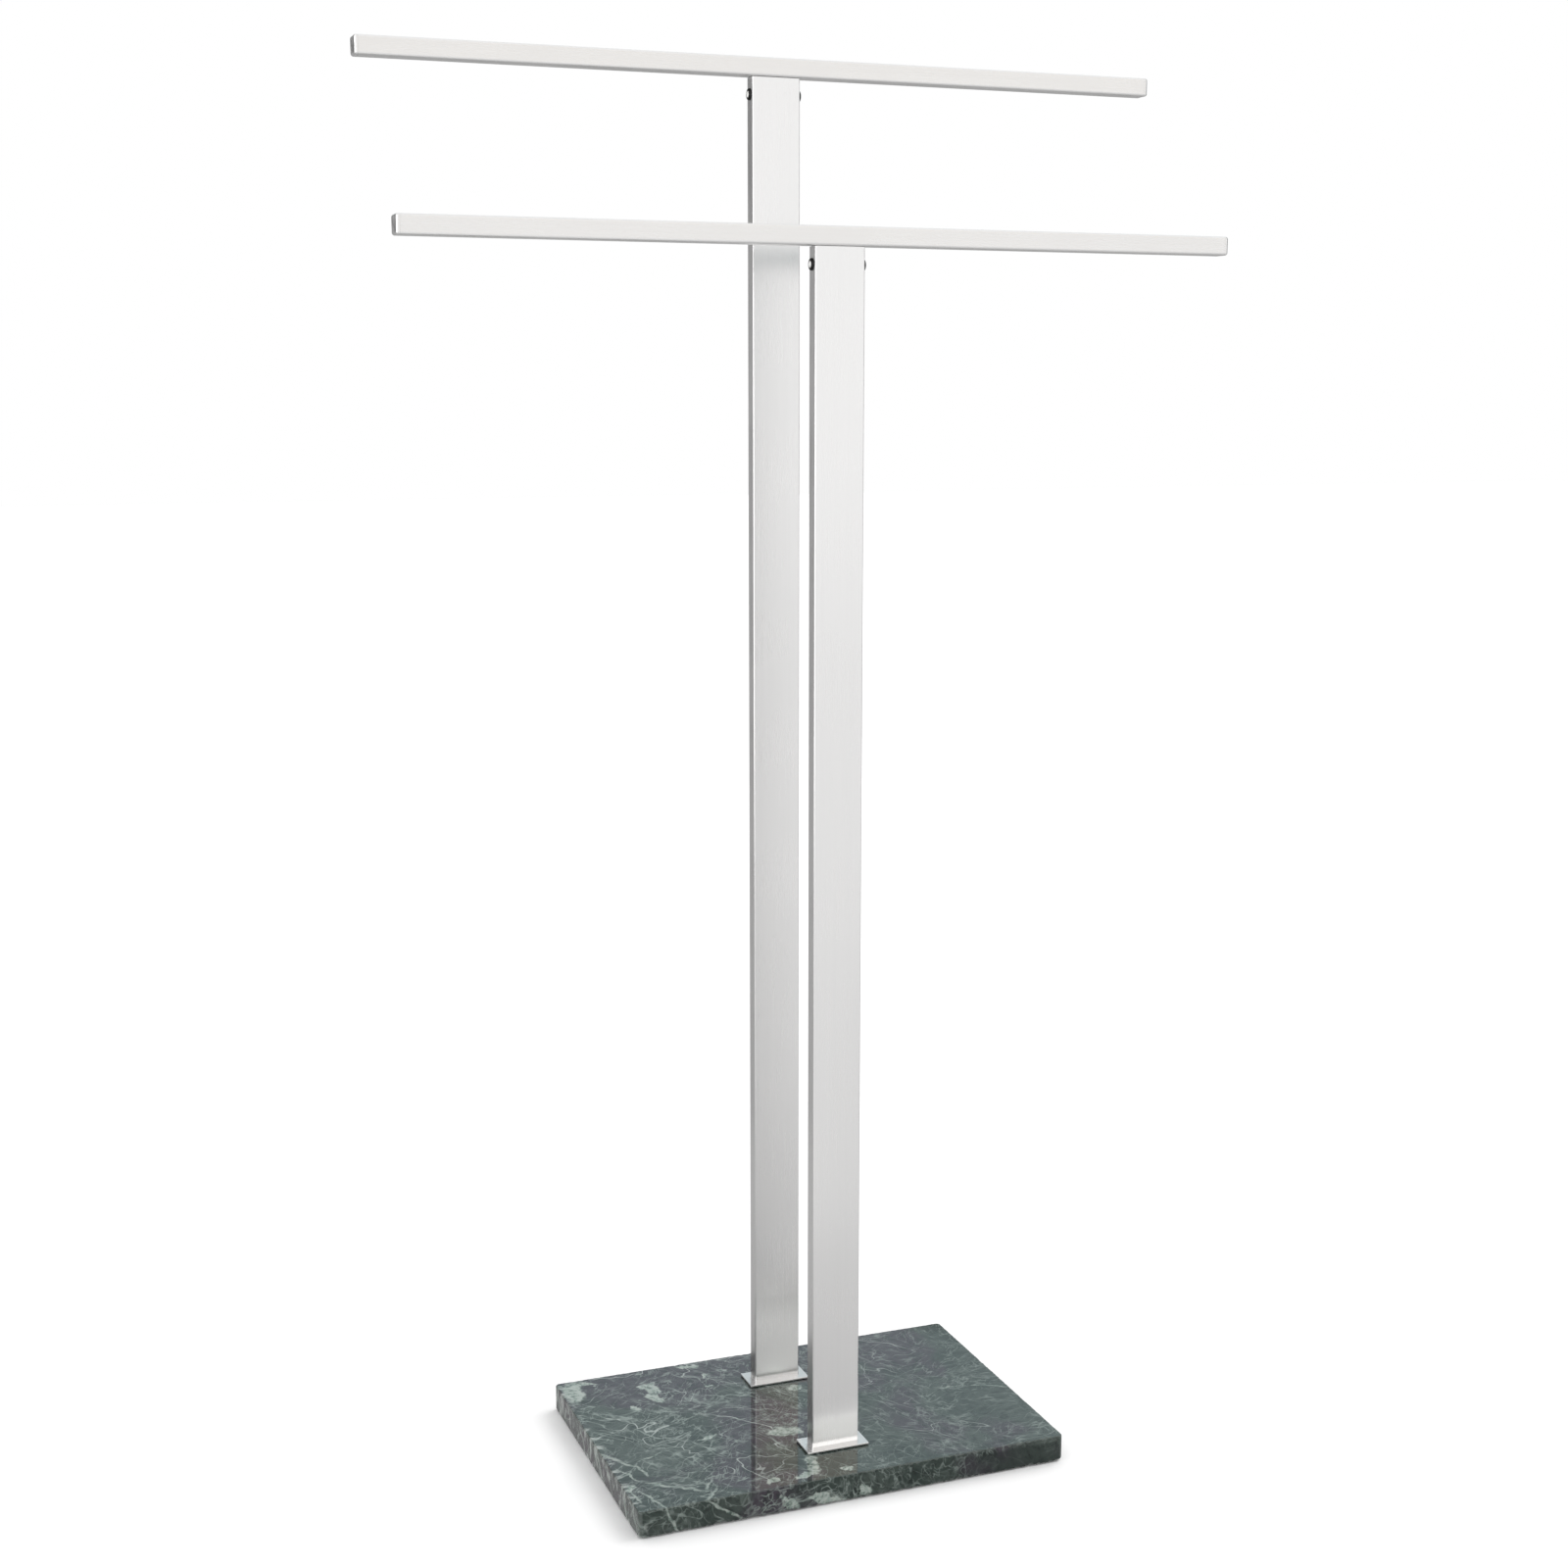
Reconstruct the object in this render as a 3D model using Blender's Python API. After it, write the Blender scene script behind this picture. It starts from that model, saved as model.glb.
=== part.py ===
"""Floor-standing valet stand: a marble slab, two flat steel posts, and a level hanging bar on each post.

X runs along the bars, Y from the front post to the rear one, and Z up.
The origin is on the floor, at the slab's centre.
"""

import math

import bmesh
import bpy
from mathutils import Matrix, Vector

MM = 0.001
GAP = 0.3 * MM  # clearance between pieces that touch

# Marble slab
SLAB_WIDTH = 300 * MM
SLAB_DEPTH = 200 * MM
SLAB_THICKNESS = 17.5 * MM
SLAB_CORNER_RADIUS = 2.5 * MM
SLAB_EDGE_RADIUS = 1.2 * MM

# Self-adhesive pads under the slab
PAD_RADIUS = 11 * MM
PAD_THICKNESS = 0.8 * MM
PAD_INSET = 22 * MM  # pad centre to the slab's sides

# Posts: flat rectangular tube
POST_WIDTH = 33 * MM
POST_DEPTH = 10 * MM
POST_WALL = 1.0 * MM
POST_CORNER_RADIUS = 0.9 * MM
POST_INNER_RADIUS = 0.4 * MM
POST_SPACING = 110 * MM  # centre to centre, along Y

# Plate at the foot of each post
PLATE_WIDTH = 44 * MM
PLATE_DEPTH = 22 * MM
PLATE_THICKNESS = 1.5 * MM
PLATE_CORNER_RADIUS = 0.6 * MM
PLATE_EDGE_RADIUS = 0.3 * MM

# Hanging bars: small rectangular tube with closed ends
BAR_LENGTH = 546 * MM
BAR_DEPTH = 13 * MM
BAR_HEIGHT = 12 * MM
BAR_WALL = 1.2 * MM
BAR_CORNER_RADIUS = 1.8 * MM
REAR_BAR_TOP = 927 * MM
FRONT_BAR_TOP = 814 * MM
CAP_THICKNESS = 2.4 * MM
SPIGOT_LENGTH = 6 * MM

# Blocks inside each post: the bar's tongue at the top, the threaded anchor at the foot
TONGUE_DROP = 22 * MM  # below the bar's underside
ANCHOR_HEIGHT = 22 * MM

# M4 clamp screws, one through each narrow side of a post into the tongue
CLAMP_DROP = 11 * MM  # screw axis below the bar's underside
CLAMP_SHANK_RADIUS = 1.9 * MM
CLAMP_SHANK_LENGTH = 9 * MM
CLAMP_HEAD_RADIUS = 3.8 * MM
CLAMP_HEAD_HEIGHT = 1.2 * MM
CLAMP_CROWN_RADIUS = 2.5 * MM  # flat top of the head
CLAMP_RIM_HEIGHT = 0.4 * MM  # upright side of the head, below the dome
CLAMP_SOCKET_WIDTH = 3.0 * MM
CLAMP_SOCKET_DEPTH = 0.8 * MM

# M5 base screws, two up through the slab into each anchor block
BASE_SCREW_SPACING = 18 * MM
BASE_SHANK_RADIUS = 2.4 * MM
BASE_SHANK_LENGTH = 30 * MM
BASE_HEAD_RADIUS = 4.25 * MM
BASE_HEAD_HEIGHT = 5 * MM
BASE_SOCKET_WIDTH = 4 * MM
BASE_SOCKET_DEPTH = 2.5 * MM
WASHER_RADIUS = 5 * MM
WASHER_THICKNESS = 1 * MM
COUNTERBORE_RADIUS = 6.5 * MM
COUNTERBORE_DEPTH = 7.5 * MM
POINT_CHAMFER = 0.5 * MM  # at the end of a screw's shank, and round a cap screw's head

ARC_STEPS = 4  # faces along a quarter-round edge
ROUND_STEPS = 24  # faces round a turned piece
SMALLEST_RADIUS = 0.1 * MM  # left at a corner where its rolled edge takes up the whole corner radius
SHARP_ANGLE = math.radians(35)  # edges that turn more than this are shaded sharp
CUT_MARGIN = 2 * MM  # how far a cutter runs past what it cuts

# Heights that follow from the sizes above
SLAB_BOTTOM = PAD_THICKNESS + GAP
SLAB_TOP = SLAB_BOTTOM + SLAB_THICKNESS
PLATE_BOTTOM = SLAB_TOP + GAP
PLATE_TOP = PLATE_BOTTOM + PLATE_THICKNESS
POST_BOTTOM = PLATE_TOP + GAP
WASHER_TOP = SLAB_BOTTOM + COUNTERBORE_DEPTH - GAP
BASE_HEAD_TOP = WASHER_TOP - WASHER_THICKNESS - GAP

# What fits inside a post, with a gap on every side
CORE_WIDTH = POST_WIDTH - 2 * (POST_WALL + GAP)
CORE_DEPTH = POST_DEPTH - 2 * (POST_WALL + GAP)
CORE_CORNER_RADIUS = 0.4 * MM


def clear_scene():
    for thing in list(bpy.data.objects):
        bpy.data.objects.remove(thing, do_unlink=True)


def principled(name, colour, metallic, roughness):
    material = bpy.data.materials.new(name)
    material.use_nodes = True
    shader = material.node_tree.nodes["Principled BSDF"]
    shader.inputs["Base Color"].default_value = (*colour, 1.0)
    shader.inputs["Metallic"].default_value = metallic
    shader.inputs["Roughness"].default_value = roughness
    return material


def rounded_rectangle(width, depth, radius):
    """Outline points, anticlockwise, with a quarter circle at each corner."""
    points = []
    for corner, (side_x, side_y) in enumerate(((1, 1), (-1, 1), (-1, -1), (1, -1))):
        centre = Vector((side_x * (width / 2 - radius), side_y * (depth / 2 - radius)))
        for step in range(ARC_STEPS + 1):
            angle = (corner + step / ARC_STEPS) * math.pi / 2
            points.append(centre + radius * Vector((math.cos(angle), math.sin(angle))))
    return points


def circle(radius):
    turns = [step * 2 * math.pi / ROUND_STEPS for step in range(ROUND_STEPS)]
    return [Vector((radius * math.cos(turn), radius * math.sin(turn))) for turn in turns]


def loop_at(mesh, outline, height):
    return [mesh.verts.new((point.x, point.y, height)) for point in outline]


def bridge(mesh, lower, upper):
    for index, vertex in enumerate(lower):
        following = (index + 1) % len(lower)
        mesh.faces.new((vertex, lower[following], upper[following], upper[index]))


def finished(mesh, name, transform=None):
    """Turns a bmesh into mesh data, faces outward, smooth on rounds and sharp on real edges."""
    bmesh.ops.recalc_face_normals(mesh, faces=mesh.faces)
    if transform is not None:
        mesh.transform(transform)
    data = bpy.data.meshes.new(name)
    mesh.to_mesh(data)
    mesh.free()
    data.shade_smooth()
    data.set_sharp_from_angle(angle=SHARP_ANGLE)
    return data


def loft(name, sections, transform=None):
    """A closed solid through horizontal outlines, given as (height, outline) from the bottom up."""
    mesh = bmesh.new()
    loops = [loop_at(mesh, outline, height) for height, outline in sections]
    for lower, upper in zip(loops, loops[1:]):
        bridge(mesh, lower, upper)
    mesh.faces.new(reversed(loops[0]))
    mesh.faces.new(loops[-1])
    return finished(mesh, name, transform)


def tube(name, outer, inner, bottom, top, transform=None):
    """A straight tube between two heights, open at both ends."""
    mesh = bmesh.new()
    loops = {
        (side, height): loop_at(mesh, outline, height)
        for side, outline in (("outer", outer), ("inner", inner))
        for height in (bottom, top)
    }
    bridge(mesh, loops["outer", bottom], loops["outer", top])
    bridge(mesh, loops["inner", top], loops["inner", bottom])
    bridge(mesh, loops["outer", top], loops["inner", top])
    bridge(mesh, loops["inner", bottom], loops["outer", bottom])
    return finished(mesh, name, transform)


def edge_sections(height, direction, width, depth, corner_radius, edge_radius):
    """Sections that roll a slab's edge from its side face to its end face at the given height."""
    sections = []
    for step in range(ARC_STEPS + 1):
        angle = step / ARC_STEPS * math.pi / 2
        inset = edge_radius * (1 - math.cos(angle))
        level = height - direction * edge_radius * (1 - math.sin(angle))
        radius = max(corner_radius - inset, SMALLEST_RADIUS)
        outline = rounded_rectangle(width - 2 * inset, depth - 2 * inset, radius)
        sections.append((level, outline))
    return sections


def rounded_slab(name, width, depth, bottom, top, corner_radius, edge_radius, transform=None):
    """A plate with rounded upright corners and rolled top and bottom edges."""
    size = (width, depth, corner_radius, edge_radius)
    lower = edge_sections(bottom, -1, *size)
    upper = edge_sections(top, 1, *size)
    return loft(name, [*reversed(lower), *upper], transform)


def turned(name, profile, transform=None):
    """A solid of revolution about Z, given as (radius, height) from the bottom up."""
    return loft(name, [(height, circle(radius)) for radius, height in profile], transform)


def cutter(name, data):
    """A helper solid that only cuts, and is never part of the object."""
    helper = bpy.data.objects.new(name, data)
    bpy.context.scene.collection.objects.link(helper)
    helper.hide_render = True
    helper.display_type = "WIRE"
    return helper


def cut(piece, helper):
    modifier = piece.modifiers.new(helper.name, "BOOLEAN")
    modifier.operation = "DIFFERENCE"
    modifier.solver = "EXACT"
    modifier.object = helper


def round_cutter(name, radius, bottom, top, transform=None):
    return cutter(name, turned(name, [(radius, bottom), (radius, top)], transform))


def add_piece(name, data, material, parent, location=(0, 0, 0)):
    """Links a copy of the mesh under its own name, with its material, at a place under its parent."""
    mesh = data.copy()
    mesh.name = name
    mesh.materials.append(material)
    piece = bpy.data.objects.new(name, mesh)
    bpy.context.scene.collection.objects.link(piece)
    piece.parent = parent
    piece.location = location
    return piece


def add_empty(name, parent=None, location=(0, 0, 0)):
    empty = bpy.data.objects.new(name, None)
    bpy.context.scene.collection.objects.link(empty)
    empty.parent = parent
    empty.location = location
    return empty


def hexagon_cutter(name, width, bottom, top, place):
    """A hexagonal prism for a driver socket, put at its screw by the matrix place."""
    corner = width / math.sqrt(3)
    turns = [side * math.pi / 3 for side in range(6)]
    outline = [Vector((corner * math.cos(turn), corner * math.sin(turn))) for turn in turns]
    return cutter(name, loft(name, [(bottom, outline), (top, outline)], place))


def clamp_screw_data():
    """Low button-head screw along +Z, with its head's underside at the origin."""
    profile = [
        (CLAMP_SHANK_RADIUS - POINT_CHAMFER, -CLAMP_SHANK_LENGTH),
        (CLAMP_SHANK_RADIUS, -CLAMP_SHANK_LENGTH + POINT_CHAMFER),
        (CLAMP_SHANK_RADIUS, 0),
        (CLAMP_HEAD_RADIUS, 0),
    ]
    for step in range(ARC_STEPS + 1):
        angle = step / ARC_STEPS * math.pi / 2
        dome_width = (CLAMP_HEAD_RADIUS - CLAMP_CROWN_RADIUS) * math.cos(angle)
        dome_height = (CLAMP_HEAD_HEIGHT - CLAMP_RIM_HEIGHT) * math.sin(angle)
        profile.append((CLAMP_CROWN_RADIUS + dome_width, CLAMP_RIM_HEIGHT + dome_height))
    return turned("clamp_screw", profile)


def base_screw_data():
    """Socket cap screw along +Z, with its head's top face, where the shank begins, at the origin."""
    profile = [
        (BASE_HEAD_RADIUS - POINT_CHAMFER, -BASE_HEAD_HEIGHT),
        (BASE_HEAD_RADIUS, -BASE_HEAD_HEIGHT + POINT_CHAMFER),
        (BASE_HEAD_RADIUS, 0),
        (BASE_SHANK_RADIUS, 0),
        (BASE_SHANK_RADIUS, BASE_SHANK_LENGTH - POINT_CHAMFER),
        (BASE_SHANK_RADIUS - POINT_CHAMFER, BASE_SHANK_LENGTH),
    ]
    return turned("base_screw", profile)


def cap_data(transform):
    """Bar end cap: a rounded outer plate on +Z and a spigot that plugs the tube."""
    lip = BAR_WALL + GAP
    outer_size = (BAR_HEIGHT, BAR_DEPTH, BAR_CORNER_RADIUS)
    spigot_size = (BAR_HEIGHT - 2 * lip, BAR_DEPTH - 2 * lip, BAR_CORNER_RADIUS - BAR_WALL)
    end = BAR_LENGTH / 2
    seam = end - CAP_THICKNESS
    sections = [
        (seam - SPIGOT_LENGTH, rounded_rectangle(*spigot_size)),
        (seam, rounded_rectangle(*spigot_size)),
        (seam, rounded_rectangle(*outer_size)),
        *edge_sections(end, 1, *outer_size, BAR_CORNER_RADIUS),
    ]
    return loft("bar_cap", sections, transform)


def build_slab(material, stand):
    data = rounded_slab(
        "base_slab",
        SLAB_WIDTH,
        SLAB_DEPTH,
        SLAB_BOTTOM,
        SLAB_TOP,
        SLAB_CORNER_RADIUS,
        SLAB_EDGE_RADIUS,
    )
    slab = add_piece("base_slab", data, material, stand)
    for row, y in (("rear", POST_SPACING / 2), ("front", -POST_SPACING / 2)):
        for side, x in (("left", -BASE_SCREW_SPACING / 2), ("right", BASE_SCREW_SPACING / 2)):
            place = Matrix.Translation((x, y, 0))
            bore_radius = BASE_SHANK_RADIUS + 2 * GAP
            bore_top = SLAB_TOP + CUT_MARGIN
            counterbore_top = SLAB_BOTTOM + COUNTERBORE_DEPTH
            bore = round_cutter(f"cut_{row}_{side}_bore", bore_radius, 0, bore_top, place)
            counterbore = round_cutter(
                f"cut_{row}_{side}_counterbore",
                COUNTERBORE_RADIUS,
                -CUT_MARGIN,
                counterbore_top,
                place,
            )
            cut(slab, counterbore)
            cut(slab, bore)


def build_pads(material, stand):
    data = turned("foot_pad", [(PAD_RADIUS, 0), (PAD_RADIUS, PAD_THICKNESS)])
    reach_x = SLAB_WIDTH / 2 - PAD_INSET
    reach_y = SLAB_DEPTH / 2 - PAD_INSET
    for row, y in (("front", -reach_y), ("rear", reach_y)):
        for side, x in (("left", -reach_x), ("right", reach_x)):
            add_piece(f"{row}_{side}_foot_pad", data, material, stand, (x, y, 0))


def build_foot(row, y, steel, inner_steel, column):
    """The foot plate, the anchor block inside the post, and the screws that pull both down on the slab."""
    plate_data = rounded_slab(
        "foot_plate",
        PLATE_WIDTH,
        PLATE_DEPTH,
        PLATE_BOTTOM,
        PLATE_TOP,
        PLATE_CORNER_RADIUS,
        PLATE_EDGE_RADIUS,
    )
    core = rounded_rectangle(CORE_WIDTH, CORE_DEPTH, CORE_CORNER_RADIUS)
    block_data = loft(
        "anchor_block", [(POST_BOTTOM, core), (POST_BOTTOM + ANCHOR_HEIGHT, core)]
    )
    washer_data = tube(
        "washer",
        circle(WASHER_RADIUS),
        circle(BASE_SHANK_RADIUS + GAP),
        WASHER_TOP - WASHER_THICKNESS,
        WASHER_TOP,
    )
    screw_data = base_screw_data()
    plate = add_piece(f"{row}_foot_plate", plate_data, steel, column)
    block = add_piece(f"{row}_anchor_block", block_data, inner_steel, column)
    for side, x in (("left", -BASE_SCREW_SPACING / 2), ("right", BASE_SCREW_SPACING / 2)):
        hole = round_cutter(
            f"cut_{row}_{side}_anchor_hole",
            BASE_SHANK_RADIUS + GAP,
            SLAB_TOP - CUT_MARGIN,
            POST_BOTTOM + ANCHOR_HEIGHT + CUT_MARGIN,
            Matrix.Translation((x, y, 0)),
        )
        cut(plate, hole)
        cut(block, hole)
        add_piece(f"{row}_{side}_base_washer", washer_data, inner_steel, column, (x, 0, 0))
        screw = add_piece(
            f"{row}_{side}_base_screw", screw_data, inner_steel, column, (x, 0, BASE_HEAD_TOP)
        )
        head_bottom = BASE_HEAD_TOP - BASE_HEAD_HEIGHT
        socket = hexagon_cutter(
            f"cut_{row}_{side}_base_socket",
            BASE_SOCKET_WIDTH,
            head_bottom - CUT_MARGIN,
            head_bottom + BASE_SOCKET_DEPTH,
            Matrix.Translation((x, y, 0)),
        )
        cut(screw, socket)


def build_post(row, underside, steel, clamp_hole, column):
    inner_width = POST_WIDTH - 2 * POST_WALL
    inner_depth = POST_DEPTH - 2 * POST_WALL
    data = tube(
        "post",
        rounded_rectangle(POST_WIDTH, POST_DEPTH, POST_CORNER_RADIUS),
        rounded_rectangle(inner_width, inner_depth, POST_INNER_RADIUS),
        POST_BOTTOM,
        underside - GAP,
    )
    post = add_piece(f"{row}_post", data, steel, column)
    cut(post, clamp_hole)


def build_bar(row, y, underside, steel, inner_steel, clamp_hole, column):
    """The bar's tube, its two end caps, and the tongue that hangs from it into the post."""
    along_x = Matrix.Rotation(math.pi / 2, 4, "Y")
    middle = (0, 0, underside + BAR_HEIGHT / 2)
    inner_height = BAR_HEIGHT - 2 * BAR_WALL
    inner_depth = BAR_DEPTH - 2 * BAR_WALL
    reach = BAR_LENGTH / 2 - CAP_THICKNESS - GAP
    data = tube(
        "bar_tube",
        rounded_rectangle(BAR_HEIGHT, BAR_DEPTH, BAR_CORNER_RADIUS),
        rounded_rectangle(inner_height, inner_depth, BAR_CORNER_RADIUS - BAR_WALL),
        -reach,
        reach,
        along_x,
    )
    bar = add_piece(f"{row}_bar_tube", data, steel, column, middle)
    slot_outline = rounded_rectangle(
        CORE_WIDTH + 2 * GAP, CORE_DEPTH + 2 * GAP, CORE_CORNER_RADIUS + GAP
    )
    slot_name = f"cut_{row}_bar_slot"
    slot_heights = (underside - CUT_MARGIN, underside + BAR_HEIGHT / 2)
    slot = loft(
        slot_name,
        [(height, slot_outline) for height in slot_heights],
        Matrix.Translation((0, y, 0)),
    )
    cut(bar, cutter(slot_name, slot))

    core = rounded_rectangle(CORE_WIDTH, CORE_DEPTH, CORE_CORNER_RADIUS)
    tongue_top = underside + BAR_HEIGHT - BAR_WALL - GAP
    tongue_data = loft("bar_tongue", [(underside - TONGUE_DROP, core), (tongue_top, core)])
    tongue = add_piece(f"{row}_bar_tongue", tongue_data, inner_steel, column)
    cut(tongue, clamp_hole)

    for side, turn in (("right", 0), ("left", math.pi)):
        facing = Matrix.Rotation(turn, 4, "Z") @ along_x
        add_piece(f"{row}_bar_{side}_cap", cap_data(facing), steel, column, middle)


def build_clamp_screws(row, y, underside, material, column):
    data = clamp_screw_data()
    height = underside - CLAMP_DROP
    reach = POST_WIDTH / 2 + GAP
    for side, sign in (("right", 1), ("left", -1)):
        facing = Matrix.Rotation(sign * math.pi / 2, 4, "Y")
        turned_data = data.copy()
        turned_data.transform(facing)
        screw = add_piece(
            f"{row}_{side}_clamp_screw", turned_data, material, column, (sign * reach, 0, height)
        )
        socket = hexagon_cutter(
            f"cut_{row}_{side}_clamp_socket",
            CLAMP_SOCKET_WIDTH,
            CLAMP_HEAD_HEIGHT - CLAMP_SOCKET_DEPTH,
            CLAMP_HEAD_HEIGHT + CUT_MARGIN,
            Matrix.Translation((sign * reach, y, height)) @ facing,
        )
        cut(screw, socket)


def build_column(row, y, bar_top, materials, stand):
    """One post with everything on it, from its foot plate to its bar."""
    column = add_empty(f"{row}_column", stand, (0, y, 0))
    underside = bar_top - BAR_HEIGHT
    across = Matrix.Translation((0, y, underside - CLAMP_DROP)) @ Matrix.Rotation(
        math.pi / 2, 4, "Y"
    )
    clamp_hole = round_cutter(
        f"cut_{row}_clamp_hole",
        CLAMP_SHANK_RADIUS + GAP,
        -POST_WIDTH / 2 - CUT_MARGIN,
        POST_WIDTH / 2 + CUT_MARGIN,
        across,
    )
    build_foot(row, y, materials["brushed"], materials["plain"], column)
    build_post(row, underside, materials["brushed"], clamp_hole, column)
    build_bar(row, y, underside, materials["brushed"], materials["plain"], clamp_hole, column)
    build_clamp_screws(row, y, underside, materials["blackened"], column)


def main():
    clear_scene()
    materials = {
        "brushed": principled("brushed_stainless", (0.80, 0.80, 0.79), 1.0, 0.34),
        "blackened": principled("blackened_steel", (0.05, 0.05, 0.05), 1.0, 0.25),
        "plain": principled("zinc_plated_steel", (0.62, 0.62, 0.60), 1.0, 0.38),
        "marble": principled("green_marble", (0.13, 0.17, 0.16), 0.0, 0.12),
        "pad": principled("dark_rubber", (0.03, 0.03, 0.03), 0.0, 0.85),
    }
    stand = add_empty("valet_stand")
    build_slab(materials["marble"], stand)
    build_pads(materials["pad"], stand)
    build_column("rear", POST_SPACING / 2, REAR_BAR_TOP, materials, stand)
    build_column("front", -POST_SPACING / 2, FRONT_BAR_TOP, materials, stand)


main()
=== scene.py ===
"""Looks of the valet stand: fine meshes and materials round its CAD frame, on a pale floor in soft light."""

import math

import bmesh
import bpy
from mathutils import Matrix, Vector, noise


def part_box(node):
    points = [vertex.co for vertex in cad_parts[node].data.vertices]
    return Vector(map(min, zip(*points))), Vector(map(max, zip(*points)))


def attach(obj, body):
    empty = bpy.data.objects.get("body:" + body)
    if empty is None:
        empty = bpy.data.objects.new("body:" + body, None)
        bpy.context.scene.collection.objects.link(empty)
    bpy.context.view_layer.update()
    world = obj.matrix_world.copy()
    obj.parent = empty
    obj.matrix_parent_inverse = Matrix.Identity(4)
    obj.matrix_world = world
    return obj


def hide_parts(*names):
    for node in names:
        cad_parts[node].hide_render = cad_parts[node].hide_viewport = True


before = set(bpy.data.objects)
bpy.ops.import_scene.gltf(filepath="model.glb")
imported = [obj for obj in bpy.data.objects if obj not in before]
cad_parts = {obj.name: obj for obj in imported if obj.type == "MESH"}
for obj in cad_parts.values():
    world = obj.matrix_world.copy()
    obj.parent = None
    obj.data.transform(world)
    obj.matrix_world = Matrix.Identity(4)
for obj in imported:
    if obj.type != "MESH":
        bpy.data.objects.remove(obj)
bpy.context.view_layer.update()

MM = 0.001
GAP = 0.3 * MM  # clearance that the CAD solids keep from each other
CUT_MARGIN = 2 * MM

# Edges and holes, as the CAD solids have them
SLAB_CORNER_RADIUS = 2.5 * MM
POST_CORNER_RADIUS = 0.9 * MM
POST_WALL = 1.0 * MM
PLATE_CORNER_RADIUS = 0.6 * MM
PLATE_EDGE_RADIUS = 0.3 * MM
BAR_CORNER_RADIUS = 1.8 * MM
BAR_WALL = 1.2 * MM
TONGUE_SLOT_RADIUS = 0.7 * MM
SPIGOT_LENGTH = 6 * MM
PAD_EDGE_RADIUS = 0.25 * MM
SHANK_RADIUS = 2.4 * MM  # of a base screw
COUNTERBORE_RADIUS = 6.5 * MM
COUNTERBORE_DEPTH = 7.5 * MM
CLAMP_HOLE_RADIUS = 2.2 * MM

# Finer shapes, where the pieces in sight differ from the CAD solids
SLAB_ARRIS = 0.45 * MM  # where it isn't chipped
NIBBLE_DEPTH = 2.6 * MM  # for each unit of noise, along the slab's front
BITE_DEPTH = 12 * MM
CHIP_LIMIT = 0.8 * SLAB_CORNER_RADIUS
CHIPS_ELSEWHERE = 0.3  # share of the front's chips that the other sides have
CHIP_SPACING = 1.0 * MM
CHIP_STEPS = 4
PLATE_UNDERCUT = 0.7 * MM  # a plate's lower edge, which leaves a dark line above the stone
HAIRLINE = 0.05 * MM  # the seam in sight between a cap and its tube

ARC_STEPS = 8  # faces along a quarter-round edge
ROUND_STEPS = 96  # faces round a turned piece: a multiple of six, so that a hexagon fits
SHARP_ANGLE = math.radians(40)
WEAR_AND_HIGHLIGHT = "wear_and_highlight"  # a mesh attribute: 1 where a surface has lost its finish, and in the screws' sockets, where it marks a painted highlight
CARD_SPACING = 0.02 * MM  # between cards that lie over one another on the floor


# ---------------------------------------------------------------------------
# Mesh work
# ---------------------------------------------------------------------------


def rounded_rectangle(width, depth, radius):
    """Outline points, anticlockwise, with a quarter circle at each corner."""
    points = []
    for corner, (side_x, side_y) in enumerate(((1, 1), (-1, 1), (-1, -1), (1, -1))):
        centre = Vector((side_x * (width / 2 - radius), side_y * (depth / 2 - radius)))
        for step in range(ARC_STEPS + 1):
            angle = (corner + step / ARC_STEPS) * math.pi / 2
            points.append(centre + radius * Vector((math.cos(angle), math.sin(angle))))
    return points


def circle(radius):
    turns = [step * 2 * math.pi / ROUND_STEPS for step in range(ROUND_STEPS)]
    return [Vector((radius * math.cos(turn), radius * math.sin(turn))) for turn in turns]


def hexagon(width):
    """A hexagon's outline, sampled at the same turns as a circle, so that the two can be joined."""
    points = []
    for step in range(ROUND_STEPS):
        turn = step * 2 * math.pi / ROUND_STEPS
        off_middle = (turn % (math.pi / 3)) - math.pi / 6
        reach = width / 2 / math.cos(off_middle)
        points.append(Vector((reach * math.cos(turn), reach * math.sin(turn))))
    return points


def loop_at(mesh, outline, height):
    return [mesh.verts.new((point.x, point.y, height)) for point in outline]


def bridge(mesh, lower, upper):
    for index, vertex in enumerate(lower):
        following = (index + 1) % len(lower)
        mesh.faces.new((vertex, lower[following], upper[following], upper[index]))


def to_object(mesh, name, transform):
    """Makes an object of a bmesh, and frees the bmesh."""
    bmesh.ops.recalc_face_normals(mesh, faces=mesh.faces)
    mesh.transform(transform)
    data = bpy.data.meshes.new(name)
    mesh.to_mesh(data)
    mesh.free()
    piece = bpy.data.objects.new(name, data)
    bpy.context.scene.collection.objects.link(piece)
    return piece


def close(mesh, loops):
    """Joins loops into the side of a solid, and caps both its ends."""
    for lower, upper in zip(loops, loops[1:]):
        bridge(mesh, lower, upper)
    mesh.faces.new(reversed(loops[0]))
    mesh.faces.new(loops[-1])


def loft(name, sections, transform=Matrix()):
    """A closed solid through outlines given as (height, outline) from the bottom up."""
    mesh = bmesh.new()
    close(mesh, [loop_at(mesh, outline, height) for height, outline in sections])
    return to_object(mesh, name, transform)


def ring_loft(name, sections, transform=Matrix()):
    """A closed ring: the outlines run up the outside and down the inside, and back to the first."""
    mesh = bmesh.new()
    loops = [loop_at(mesh, outline, height) for height, outline in sections]
    for lower, upper in zip(loops, [*loops[1:], loops[0]]):
        bridge(mesh, lower, upper)
    return to_object(mesh, name, transform)


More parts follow.
